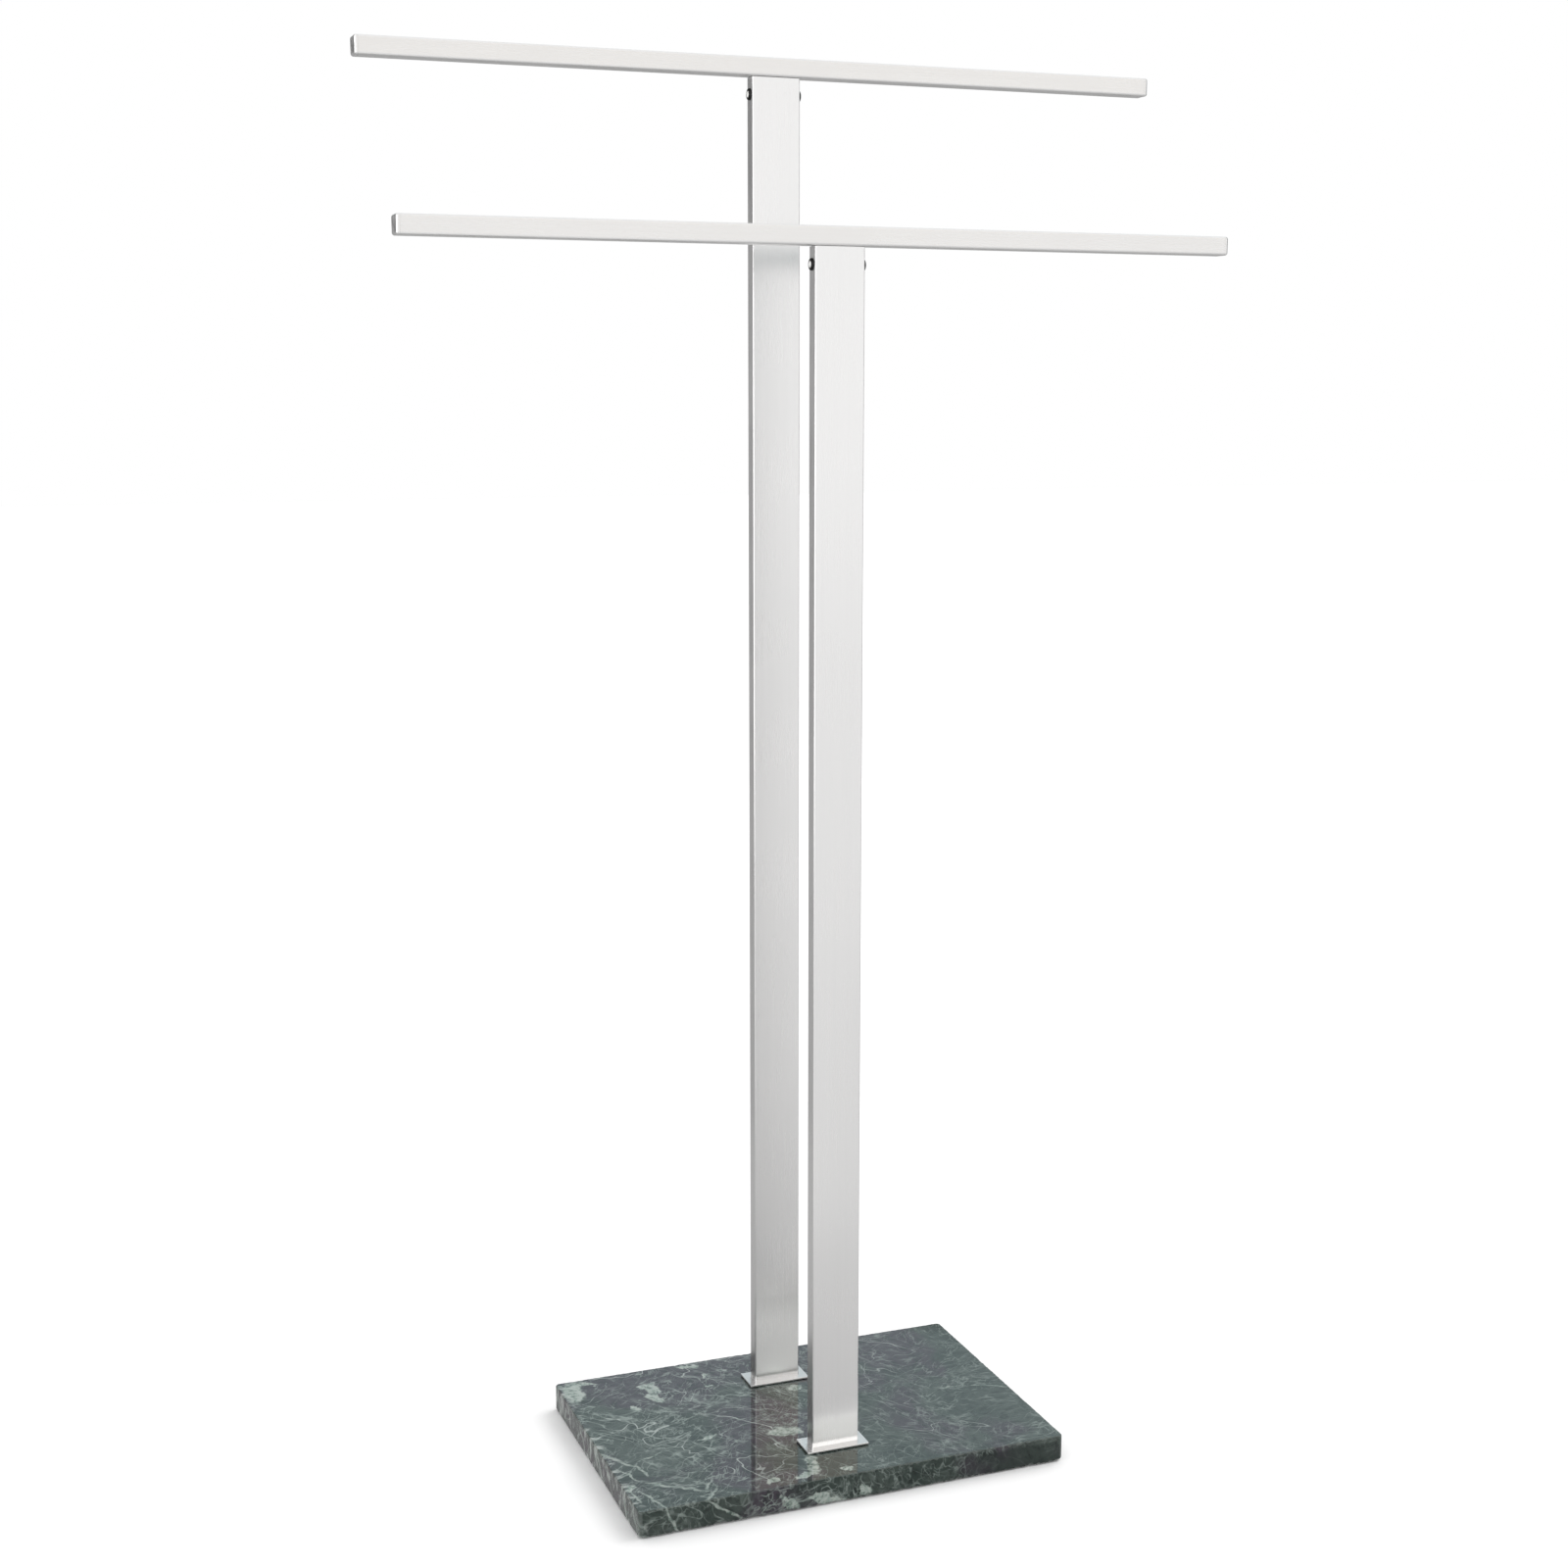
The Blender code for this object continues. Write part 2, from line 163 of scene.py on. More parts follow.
def rolled_edge(height, direction, width, depth, corner_radius, edge_radius):
    """Sections that roll from a side face to an end face at the given height."""
    sections = []
    for step in range(ARC_STEPS + 1):
        angle = step / ARC_STEPS * math.pi / 2
        inset = edge_radius * (1 - math.cos(angle))
        level = height - direction * edge_radius * (1 - math.sin(angle))
        radius = max(corner_radius - inset, 0.05 * MM)
        sections.append((level, rounded_rectangle(width - 2 * inset, depth - 2 * inset, radius)))
    return sections


def cutter(name, outline, bottom, top, transform=Matrix()):
    return loft(name, [(bottom, outline), (top, outline)], transform)


def carve(piece, cutters):
    """Cuts the cutters out of a piece for good, and removes them."""
    for tool in cutters:
        modifier = piece.modifiers.new(tool.name, "BOOLEAN")
        modifier.solver = "EXACT"
        modifier.object = tool
    graph = bpy.context.evaluated_depsgraph_get()
    data = bpy.data.meshes.new_from_object(piece.evaluated_get(graph))
    piece.modifiers.clear()
    piece.data = data
    for tool in cutters:
        bpy.data.objects.remove(tool, do_unlink=True)


def mark_wear_and_highlight(piece, amount_at):
    """Writes a piece's wear at each of its points, which on a screw marks its painted highlight."""
    wear_and_highlight = piece.data.attributes.new(WEAR_AND_HIGHLIGHT, "FLOAT", "POINT")
    wear_and_highlight.data.foreach_set("value", [float(amount_at(vertex.co)) for vertex in piece.data.vertices])


def present(piece, material, slot, *nodes):
    """Finishes a piece: shading, material, and what it stands for in the frame."""
    piece.data.materials.clear()
    piece.data.materials.append(material)
    piece.data.shade_smooth()
    piece.data.set_sharp_from_angle(angle=SHARP_ANGLE)
    weighted = piece.modifiers.new("flat_faces_stay_flat", "WEIGHTED_NORMAL")
    weighted.keep_sharp = True
    weighted.weight = 100
    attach(piece, "root")
    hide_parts(*nodes)


# ---------------------------------------------------------------------------
# Material work
# ---------------------------------------------------------------------------


class Shader:
    """A material whose nodes are added in short calls. A socket given as an input is linked."""

    def __init__(self, name):
        self.material = bpy.data.materials.new(name)
        self.material.use_nodes = True
        self.tree = self.material.node_tree
        self.principled = self.tree.nodes["Principled BSDF"]

    def add(self, kind, inputs=None, **settings):
        node = self.tree.nodes.new("ShaderNode" + kind)
        for key, value in settings.items():
            setattr(node, key, value)
        for key, value in (inputs or {}).items():
            self.put(node.inputs[key], value)
        return node

    def put(self, socket, value):
        if isinstance(value, bpy.types.NodeSocket):
            self.tree.links.new(value, socket)
        else:
            socket.default_value = value

    def set(self, **values):
        """Principled inputs, with underscores for spaces."""
        for key, value in values.items():
            self.put(self.principled.inputs[key.replace("_", " ")], value)

    def place(self):
        return self.add("TexCoord").outputs["Object"]

    def stretch(self, vector, scale, rotation=(0, 0, 0)):
        inputs = {"Vector": vector, "Scale": scale, "Rotation": rotation}
        return self.add("Mapping", inputs).outputs["Vector"]

    def noise(self, vector, scale, detail, roughness):
        inputs = {"Vector": vector, "Scale": scale, "Detail": detail, "Roughness": roughness}
        return self.add("TexNoise", inputs)

    def math(self, operation, a, b=0.0):
        return self.add("Math", {0: a, 1: b}, operation=operation).outputs[0]

    def product(self, first, *others):
        for other in others:
            first = self.math("MULTIPLY", first, other)
        return first

    def vector_math(self, operation, a, b):
        return self.add("VectorMath", {0: a, 1: b}, operation=operation).outputs[0]

    def step(self, value, low, high, out_low=0.0, out_high=1.0):
        """A soft step: out_low below low, out_high above high."""
        inputs = {
            "Value": value,
            "From Min": low,
            "From Max": high,
            "To Min": out_low,
            "To Max": out_high,
        }
        return self.add("MapRange", inputs, interpolation_type="SMOOTHSTEP").outputs["Result"]

    def mix(self, factor, a, b, blend="MIX"):
        node = self.add("Mix", data_type="RGBA", blend_type=blend)
        self.put(node.inputs["Factor"], factor)
        self.put(node.inputs[6], a)
        self.put(node.inputs[7], b)
        return node.outputs[2]

    def bump(self, height, strength, distance):
        inputs = {"Height": height, "Strength": strength, "Distance": distance}
        return self.add("Bump", inputs).outputs["Normal"]


def brushed_steel(name, grain_axis):
    """Satin stainless with fine scratches along one axis, which spread a reflection across them."""
    colour, roughness = (0.88, 0.875, 0.87, 1.0), 0.30
    shader = Shader(name)
    along = "XYZ".index(grain_axis)
    fine = [2600.0, 2600.0, 2600.0]
    fine[along] = 14.0
    broad = [420.0, 420.0, 420.0]
    broad[along] = 5.0
    place = shader.place()
    scratches = shader.noise(shader.stretch(place, fine), 1.0, 3.0, 0.6).outputs["Fac"]
    bands = shader.noise(shader.stretch(place, broad), 1.0, 2.0, 0.5).outputs["Fac"]
    smudges = shader.noise(place, 22.0, 3.0, 0.5).outputs["Fac"]
    streaks = shader.math("ADD", scratches, shader.product(bands, 0.6))
    tone = shader.step(streaks, 0.5, 1.1, 0.975, 1.0)
    shade = shader.add("CombineColor", {0: tone, 1: tone, 2: tone}).outputs[0]
    shader.set(Base_Color=shader.mix(1.0, colour, shade, "MULTIPLY"))
    rough = shader.step(scratches, 0.3, 0.7, roughness - 0.035, roughness + 0.035)
    smear = shader.step(smudges, 0.35, 0.65, -0.015, 0.015)
    shader.set(Roughness=shader.math("ADD", rough, smear))
    tangent = shader.add("Tangent", direction_type="RADIAL", axis=grain_axis).outputs[0]
    shader.set(Metallic=1.0, Anisotropic=0.85, Tangent=tangent)
    shader.set(Normal=shader.bump(scratches, 0.06, 0.02 * MM))
    return shader.material


def blackened_steel():
    """Black finish, with bright bare steel in the socket: a painted highlight."""
    shader = Shader("blackened_steel")
    place = shader.place()
    wipes = shader.noise(place, 1400.0, 4.0, 0.6).outputs["Fac"]
    wear_and_highlight = shader.add("Attribute", attribute_name=WEAR_AND_HIGHLIGHT).outputs["Fac"]
    # painted highlight: bright bare steel in the socket
    painted_socket_highlight = shader.step(shader.math("ADD", wear_and_highlight, shader.product(wipes, 0.2)), 0.45, 0.65)
    black = shader.mix(wipes, (0.018, 0.018, 0.018, 1.0), (0.045, 0.045, 0.044, 1.0))
    shader.set(Base_Color=shader.mix(painted_socket_highlight, black, (0.93, 0.93, 0.92, 1.0)), Metallic=1.0)
    rough = shader.step(wipes, 0.3, 0.7, 0.20, 0.32)
    shader.set(Roughness=shader.math("MAXIMUM", rough, shader.product(painted_socket_highlight, 0.75)))
    shader.set(Normal=shader.bump(wipes, 0.08, 0.02 * MM))
    return shader.material


def plain_steel():
    """Zinc plate: slightly mottled grey."""
    shader = Shader("plain_steel")
    place = shader.place()
    mottle = shader.noise(place, 260.0, 4.0, 0.6).outputs["Fac"]
    dark = (0.50, 0.50, 0.49, 1.0)
    pale = (0.68, 0.68, 0.66, 1.0)
    shader.set(Base_Color=shader.mix(shader.step(mottle, 0.35, 0.65), dark, pale), Metallic=1.0)
    shader.set(Roughness=shader.step(mottle, 0.3, 0.7, 0.30, 0.45))
    shader.set(Normal=shader.bump(mottle, 0.15, 0.05 * MM))
    return shader.material


def pad_rubber():
    shader = Shader("pad_rubber")
    place = shader.place()
    grain = shader.noise(place, 1800.0, 3.0, 0.6).outputs["Fac"]
    dark = (0.016, 0.016, 0.017, 1.0)
    pale = (0.040, 0.040, 0.041, 1.0)
    shader.set(Base_Color=shader.mix(grain, dark, pale), Roughness=shader.step(grain, 0.3, 0.7, 0.75, 0.92))
    shader.set(Normal=shader.bump(grain, 0.4, 0.08 * MM))
    return shader.material


# The marble's colours
DARK_SERPENTINE = (0.020, 0.032, 0.027, 1.0)
SERPENTINE = (0.040, 0.054, 0.047, 1.0)
PLUM = (0.036, 0.030, 0.040, 1.0)
DARK_CLOUD = (0.007, 0.013, 0.011, 1.0)
PALE_CLOUD = (0.085, 0.105, 0.096, 1.0)
FIBRE = (0.23, 0.27, 0.25, 1.0)
BRIGHT_VEIN = (0.40, 0.44, 0.42, 1.0)
# painted shade for the slab's sides at its right end
PAINTED_SHADE_STONE = (0.012, 0.018, 0.016, 1.0)
SIDE_VEIN = (0.36, 0.39, 0.37, 1.0)
STAINED_CALCITE = (0.13, 0.18, 0.155, 1.0)
CALCITE = (0.34, 0.38, 0.35, 1.0)
CHIPPED_STONE = (0.14, 0.17, 0.155, 1.0)

# Layers of threads in the marble: their scale, direction in degrees, stretch, width and strength, then the
# scale, low end, high end and seed of the noise that says where they are
FIBRES = (
    (34.0, -52, 4.0, 0.011, 0.60, (16.0, 0.42, 0.60, 0.11)),
    (85.0, -60, 5.0, 0.022, 0.65, (17.0, 0.40, 0.56, 0.23)),
    (95.0, 22, 5.0, 0.022, 0.65, (15.0, 0.42, 0.58, 0.53)),
    (150.0, -22, 4.5, 0.032, 0.55, (25.0, 0.40, 0.56, 0.71)),
    (190.0, 62, 4.0, 0.036, 0.50, (30.0, 0.40, 0.56, 0.91)),
)
BRIGHT_VEINS = (
    (21.0, -38, 2.5, 0.0045, 0.8, (13.0, 0.44, 0.56, 0.31)),
    (30.0, 28, 2.5, 0.0060, 0.8, (12.0, 0.46, 0.58, 0.83)),
)

# White calcite in the marble. Each is a place on the slab's top, right of its left edge and forward of its
# back edge, then its half length and half width, all in millimetres, and its turn in degrees.
CALCITE_PATCHES = (
    (9, 17, 19, 7.5, 82),
    (20, 8, 8, 3.0, -20),
    (62, 32, 11, 5, 100),
    (59, 46, 9, 4, 115),
    (55, 26, 4, 3, 160),
    (42, 57, 5, 2.5, 120),
    (97, 6, 9, 2.8, -20),
    (103, 26, 4, 1.2, 60),
    (102, 41, 2.2, 1.8, 0),
    (157, 66, 6, 4, 10),
    (126, 127, 13, 7, -15),
    (4, 168, 5, 3.5, 60),
    (127, 178, 15, 4, 75),
    (74, 117, 8, 1.8, 10),
    (94, 191, 5, 3, 40),
    (116, 190, 9, 3, 20),
    (146, 191, 4, 3, -30),
)
CALCITE_VEINS = (
    (5, 122, 13, 1.6, -55),
    (14, 136, 8, 1.4, -48),
    (18, 146, 10, 1.5, -88),
    (8, 150, 14, 0.9, -70),
    (26, 171, 14, 1.5, -30),
    (40, 181, 11, 1.3, -35),
    (52, 181, 9, 1.2, 60),
    (14, 188, 18, 1.2, -72),
    (4, 178, 12, 1.0, -80),
    (286, 112, 15, 1.1, -28),
    (262, 104, 10, 0.7, -12),
    (51, 194, 10, 1.4, 52),
    (30, 130, 12, 0.8, 25),
    (-6, 5, 8, 1.6, -23),
    (-6, 32, 8, 1.2, -23),
    (-6, 64, 8, 1.6, 32),
    (-6, 78, 8, 1.2, -10),
    (-6, 104, 9, 2.6, 32),
    (-6, 128, 8, 1.2, 10),
    (-6, 163, 8, 2.2, -11),
    (-6, 184, 8, 1.5, 30),
)
VEIN_SLANT = 0.7  # how far a vein moves right and forward for each unit that it goes down


class Stone(Shader):
    """A shader for a slab of stone whose pattern follows one winding flow."""

    def __init__(self, name, node):
        super().__init__(name)
        self.low, self.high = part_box(node)
        self.spot = self.place()
        self.across, _, self.up = self.add("SeparateXYZ", {0: self.spot}).outputs
        self.flow = self.warped(self.spot, 13.0, 45 * MM)
        self.ripple = self.warped(self.flow, 70.0, 9 * MM)

    def warped(self, vector, scale, reach, detail=3.0):
        swirl = self.noise(vector, scale, detail, 0.5).outputs["Color"]
        centred = self.vector_math("SUBTRACT", swirl, (0.5, 0.5, 0.5))
        inputs = {0: centred, "Scale": reach}
        push = self.add("VectorMath", inputs, operation="SCALE").outputs[0]
        return self.vector_math("ADD", vector, push)

    def region(self, scale, low, high, seed):
        """A soft region of the stone."""
        moved = self.vector_math("ADD", self.flow, (seed, seed * 0.7, seed * 0.3))
        return self.step(self.noise(moved, scale, 3.0, 0.55).outputs["Fac"], low, high)

    def threads(self, scale, turn, stretch, width):
        """Thin lines along one direction on the slab's top, which run with the stone's flow."""
        turned = self.stretch(self.flow, (1, 1, 1), (0, 0, math.radians(-turn)))
        along = self.stretch(turned, (1 / stretch, 1.0, 0.8))
        field = self.noise(along, scale, 3.0, 0.45).outputs["Fac"]
        off = self.math("ABSOLUTE", self.math("SUBTRACT", field, 0.5))
        return self.step(off, 0.0, width, 1.0, 0.0)

    def threaded(self, colour, layers, vigour, thread_colour):
        """Lays layers of threads over a colour."""
        for scale, turn, stretch, width, strength, where in layers:
            threads = self.threads(scale, turn, stretch, width)
            amount = self.product(threads, self.region(*where), strength, vigour)
            colour = self.mix(amount, colour, thread_colour)
        return colour

    def hand_placed(self, shapes, vector):
        """How near the nearest of some ellipses is: 0 at its middle, 1 at its rim."""
        x, y, z = self.add("SeparateXYZ", {0: vector}).outputs
        drop = self.product(self.math("SUBTRACT", z, self.high.z), VEIN_SLANT)
        slanted_x, slanted_y = self.math("ADD", x, drop), self.math("SUBTRACT", y, drop)
        slanted = self.add("CombineXYZ", {0: slanted_x, 1: slanted_y, 2: 0.0}).outputs[0]
        nearest = None
        for right, forward, half_length, half_width, turn in shapes:
            inputs = {
                "Vector": slanted,
                "Location": (self.low.x + right * MM, self.high.y - forward * MM, 0),
                "Rotation": (0, 0, math.radians(turn)),
                "Scale": (half_length * MM, half_width * MM, 1),
            }
            mapped = self.add("Mapping", inputs, vector_type="TEXTURE").outputs[0]
            reach = self.add("VectorMath", {0: mapped}, operation="LENGTH").outputs["Value"]
            nearest = reach if nearest is None else self.math("MINIMUM", nearest, reach)
        return nearest


def marble_ground(stone):
    """Grey green, patches of plum and of a deeper green, and a fine cloudiness."""
    colour = stone.mix(stone.region(18.0, 0.40, 0.60, 0.0), DARK_SERPENTINE, SERPENTINE)
    colour = stone.mix(stone.region(11.0, 0.48, 0.58, 0.37), colour, PLUM)
    cloud = stone.noise(stone.ripple, 130.0, 6.0, 0.7).outputs["Fac"]
    colour = stone.mix(stone.step(cloud, 0.32, 0.52, 0.90, 0.0), colour, DARK_CLOUD)
    return stone.mix(stone.step(cloud, 0.52, 0.75, 0.0, 0.5), colour, PALE_CLOUD)


def marble_threads(stone, colour):
    """Fibres and a few brighter veins, fainter to the right, and painted shade on the slab's sides at its
    right end, below the top: darker stone with fainter fibres.
    """
    breaks = stone.step(stone.noise(stone.ripple, 110.0, 2.0, 0.5).outputs["Fac"], 0.36, 0.60, 0.25, 1.0)
    calm = stone.step(stone.across, -40 * MM, 60 * MM, 1.0, 0.6)
    below_top = stone.step(stone.up, stone.high.z - 5 * MM, stone.high.z - 2 * MM, 1.0, 0.0)
    # painted shade: the sides below the top darken, and their fibres fade, towards the right end
    painted_shade_right_end = stone.product(below_top, stone.step(stone.across, 60 * MM, 100 * MM))
    vigour = stone.product(calm, breaks, stone.step(painted_shade_right_end, 0.0, 1.0, 1.15, 0.45))
    colour = stone.threaded(colour, FIBRES, vigour, FIBRE)
    colour = stone.threaded(colour, BRIGHT_VEINS, calm, BRIGHT_VEIN)
    return stone.mix(stone.product(painted_shade_right_end, 0.5), colour, PAINTED_SHADE_STONE)


def marble_left_side(stone, colour):
    """Slanting pale veins down the slab's left side."""
    turn = (math.radians(-50), 0, 0)
    slanted = stone.stretch(stone.warped(stone.spot, 60.0, 8 * MM), (0.3, 1.0, 0.35), turn)
    veins = stone.step(stone.noise(slanted, 170.0, 4.0, 0.6).outputs["Fac"], 0.54, 0.64)
    left_side = stone.step(stone.across, stone.low.x + 1 * MM, stone.low.x + 7 * MM, 0.85, 0.0)
    return stone.mix(stone.product(veins, left_side), colour, SIDE_VEIN)


def marble_calcite(stone, colour):
    """White patches, ragged at their rims, and thinner veins."""
    ragged = stone.warped(stone.warped(stone.spot, 160.0, 10 * MM, 5.0), 900.0, 1.5 * MM)
    wavy = stone.warped(stone.spot, 90.0, 9 * MM, 5.0)
    patch = stone.step(stone.hand_placed(CALCITE_PATCHES, ragged), 0.75, 1.15, 1.0, 0.0)
    vein = stone.step(stone.hand_placed(CALCITE_VEINS, wavy), 0.5, 1.2, 1.0, 0.0)
    stain = stone.noise(stone.ripple, 240.0, 6.0, 0.7).outputs["Fac"]
    calcite = stone.mix(stone.step(stain, 0.35, 0.60), STAINED_CALCITE, CALCITE)
    broken = stone.step(stain, 0.30, 0.48, 0.25, 1.0)
    white = stone.product(stone.math("MAXIMUM", patch, stone.product(vein, 0.75)), broken)
    return stone.mix(white, colour, calcite)


def green_marble():
    """Polished serpentine, with an unpolished and gritty arris."""
    stone = Stone("green_marble", "base_slab")
    colour = marble_ground(stone)
    colour = marble_threads(stone, colour)
    colour = marble_left_side(stone, colour)
    colour = marble_calcite(stone, colour)
    wear_and_highlight = stone.add("Attribute", attribute_name=WEAR_AND_HIGHLIGHT).outputs["Fac"]
    stone.set(Base_Color=stone.mix(stone.product(wear_and_highlight, 0.25), colour, CHIPPED_STONE), IOR=1.52)
    stone.set(Roughness=stone.step(wear_and_highlight, 0.0, 1.0, 0.05, 0.55))
    grit = stone.noise(stone.spot, 1500.0, 4.0, 0.6).outputs["Fac"]
    stone.set(Normal=stone.bump(stone.product(grit, wear_and_highlight), 0.5, 0.3 * MM))
    return stone.material


# ---------------------------------------------------------------------------
# Pieces
# ---------------------------------------------------------------------------


class Extent:
    """The box round a CAD node."""

    def __init__(self, node):
        self.low, self.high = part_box(node)
        self.size = self.high - self.low
        self.middle = (self.low + self.high) / 2

    def upright(self):
        """The move that puts a piece over the box's middle and leaves its height alone."""
        return Matrix.Translation((self.middle.x, self.middle.y, 0))


def slab_outline(size):
    """Points round the slab about a millimetre apart, each with the direction out of the stone."""
    rim = []
    corner_points = rounded_rectangle(size.x, size.y, SLAB_CORNER_RADIUS)
    for index, (point, following) in enumerate(zip(corner_points, [*corner_points[1:], corner_points[0]])):
        corner, step = divmod(index, ARC_STEPS + 1)
        turn = (corner + step / ARC_STEPS) * math.pi / 2
        outward = Vector((math.cos(turn), math.sin(turn)))
        pieces = max(1, round((following - point).length / CHIP_SPACING))
        rim += [(point.lerp(following, piece / pieces), outward) for piece in range(pieces)]
    return rim


def chip_at(point, level, front):
    """How far the slab's arris is broken away: mostly a little, with real chips along its front."""
    place = Vector((point.x, point.y, level))
    share = 1.0 if point.y < front + SLAB_CORNER_RADIUS else CHIPS_ELSEWHERE
    grain = noise.noise(place * 900)
    nibble = max(0.0, noise.noise(place * 420))
    bite = max(0.0, noise.noise(place * 90) - 0.10) * max(0.0, noise.noise(place * 260) + 0.2)
    chip = SLAB_ARRIS * (1 + 0.5 * grain) + share * (NIBBLE_DEPTH * nibble + BITE_DEPTH * bite)
    return min(chip, CHIP_LIMIT)


def chipped_arris(rim, level, direction, front):
    """Sections that roll from the slab's side to its top or underside, each point by its own chip."""
    chips = [chip_at(point, level, front) for point, _ in rim]
    arc = []
    for step in range(CHIP_STEPS + 1):
        angle = step / CHIP_STEPS * math.pi / 2
        inset, drop = 1 - math.cos(angle), 1 - math.sin(angle)
        arc.append([
            Vector((*(point - outward * chip * inset), level - direction * chip * drop))
            for (point, outward), chip in zip(rim, chips)
        ])
    return arc


def make_slab(material):
    box = Extent("base_slab")
    rim = slab_outline(box.size)
    lower = chipped_arris(rim, box.low.z, -1, box.low.y)
    upper = chipped_arris(rim, box.high.z, 1, box.low.y)
    mesh = bmesh.new()
    close(mesh, [[mesh.verts.new(point) for point in section] for section in (*reversed(lower), *upper)])
    slab = to_object(mesh, "marble_slab", Matrix())
    cutters = []
    for row in ("rear", "front"):
        for side in ("left", "right"):
            place = Extent(f"{row}_{side}_base_screw").upright()
            bore = circle(SHANK_RADIUS + 2 * GAP)
            counterbore = circle(COUNTERBORE_RADIUS)
            cutters.append(cutter("bore", bore, 0, box.high.z + CUT_MARGIN, place))
            cutters.append(cutter("counterbore", counterbore, 0, box.low.z + COUNTERBORE_DEPTH, place))
    carve(slab, cutters)

    def broken(point):
        """Stone on the chipped arris, between the polished faces."""
        polished = 0.02 * MM
        off_side = min(box.size.x / 2 - abs(point.x), box.size.y / 2 - abs(point.y))
        off_level = min(box.high.z - point.z, point.z - box.low.z)
        near_arris = off_side < SLAB_CORNER_RADIUS and off_level < SLAB_CORNER_RADIUS
        return near_arris and min(off_side, off_level) > polished

    mark_wear_and_highlight(slab, broken)
    present(slab, material, "green_marble", "base_slab")


def make_posts(material):
    for row in ("rear", "front"):
        box = Extent(f"{row}_post")
        bottom = Extent(f"{row}_foot_plate").high.z
        top = box.high.z
        outer = rounded_rectangle(box.size.x, box.size.y, POST_CORNER_RADIUS)
        inner = rounded_rectangle(
            box.size.x - 2 * POST_WALL, box.size.y - 2 * POST_WALL, POST_CORNER_RADIUS / 2
        )
        sections = [(bottom, outer), (top, outer), (top, inner), (bottom, inner)]
        post = ring_loft(f"{row}_post_tube", sections, box.upright())
        screw_height = Extent(f"{row}_left_clamp_screw").middle.z
        across = Matrix.Translation((0, box.middle.y, screw_height)) @ Matrix.Rotation(math.pi / 2, 4, "Y")
        reach = box.size.x / 2 + CUT_MARGIN
        carve(post, [cutter("clamp_hole", circle(CLAMP_HOLE_RADIUS), -reach, reach, across)])
        present(post, material, "brushed_steel", f"{row}_post")


def make_plates(material):
    for row in ("rear", "front"):
        box = Extent(f"{row}_foot_plate")
        edges = (box.size.x, box.size.y, PLATE_CORNER_RADIUS)
        lower = rolled_edge(box.low.z, -1, *edges, PLATE_UNDERCUT)
        upper = rolled_edge(box.high.z, 1, *edges, PLATE_EDGE_RADIUS)
        plate = loft(f"{row}_foot_plate_steel", [*reversed(lower), *upper], box.upright())
        hole = circle(SHANK_RADIUS + GAP)
        bottom, top = box.low.z - CUT_MARGIN, box.high.z + CUT_MARGIN
        screws = [Extent(f"{row}_{side}_base_screw") for side in ("left", "right")]
        carve(plate, [cutter("hole", hole, bottom, top, screw.upright()) for screw in screws])
        present(plate, material, "brushed_steel", f"{row}_foot_plate")


def make_bars(material):
    for row in ("rear", "front"):
        box = Extent(f"{row}_bar_tube")
        reach, height, depth = box.size.x / 2, box.size.z, box.size.y
        upended = Matrix.Rotation(math.pi / 2, 4, "Y")
        outer = rounded_rectangle(height, depth, BAR_CORNER_RADIUS)
        inner = rounded_rectangle(height - 2 * BAR_WALL, depth - 2 * BAR_WALL, BAR_CORNER_RADIUS - BAR_WALL)
        sections = [(-reach, outer), (reach, outer), (reach, inner), (-reach, inner)]
        bar = ring_loft(f"{row}_hanging_bar", sections, Matrix.Translation(box.middle) @ upended)
        tongue = Extent(f"{row}_bar_tongue").size
        slot = rounded_rectangle(tongue.x + 2 * GAP, tongue.y + 2 * GAP, TONGUE_SLOT_RADIUS)
        carve(bar, [cutter("slot", slot, box.low.z - CUT_MARGIN, box.middle.z, box.upright())])
        present(bar, material, "brushed_steel", f"{row}_bar_tube")
        for side, turn in (("right", 0), ("left", math.pi)):
            facing = Matrix.Translation(box.middle) @ Matrix.Rotation(turn, 4, "Z") @ upended
            make_cap(material, row, side, box, facing)


def make_cap(material, row, side, bar, facing):
    """A cap that plugs a bar's end: a rounded outer plate and a spigot."""
    node = f"{row}_bar_{side}_cap"
    reach, height, depth = bar.size.x / 2, bar.size.z, bar.size.y
    lip = BAR_WALL + GAP
    seam = reach + HAIRLINE
    end = reach + GAP + Extent(node).size.x - SPIGOT_LENGTH
    edges = (height, depth, BAR_CORNER_RADIUS)
    spigot = rounded_rectangle(height - 2 * lip, depth - 2 * lip, BAR_CORNER_RADIUS - BAR_WALL)
    sections = [
        (seam - SPIGOT_LENGTH, spigot),
        (seam, spigot),
        (seam, rounded_rectangle(*edges)),
        *rolled_edge(end, 1, *edges, BAR_CORNER_RADIUS),
    ]
    cap = loft(f"{row}_{side}_end_cap", sections, facing)
    present(cap, material, "brushed_steel", node)


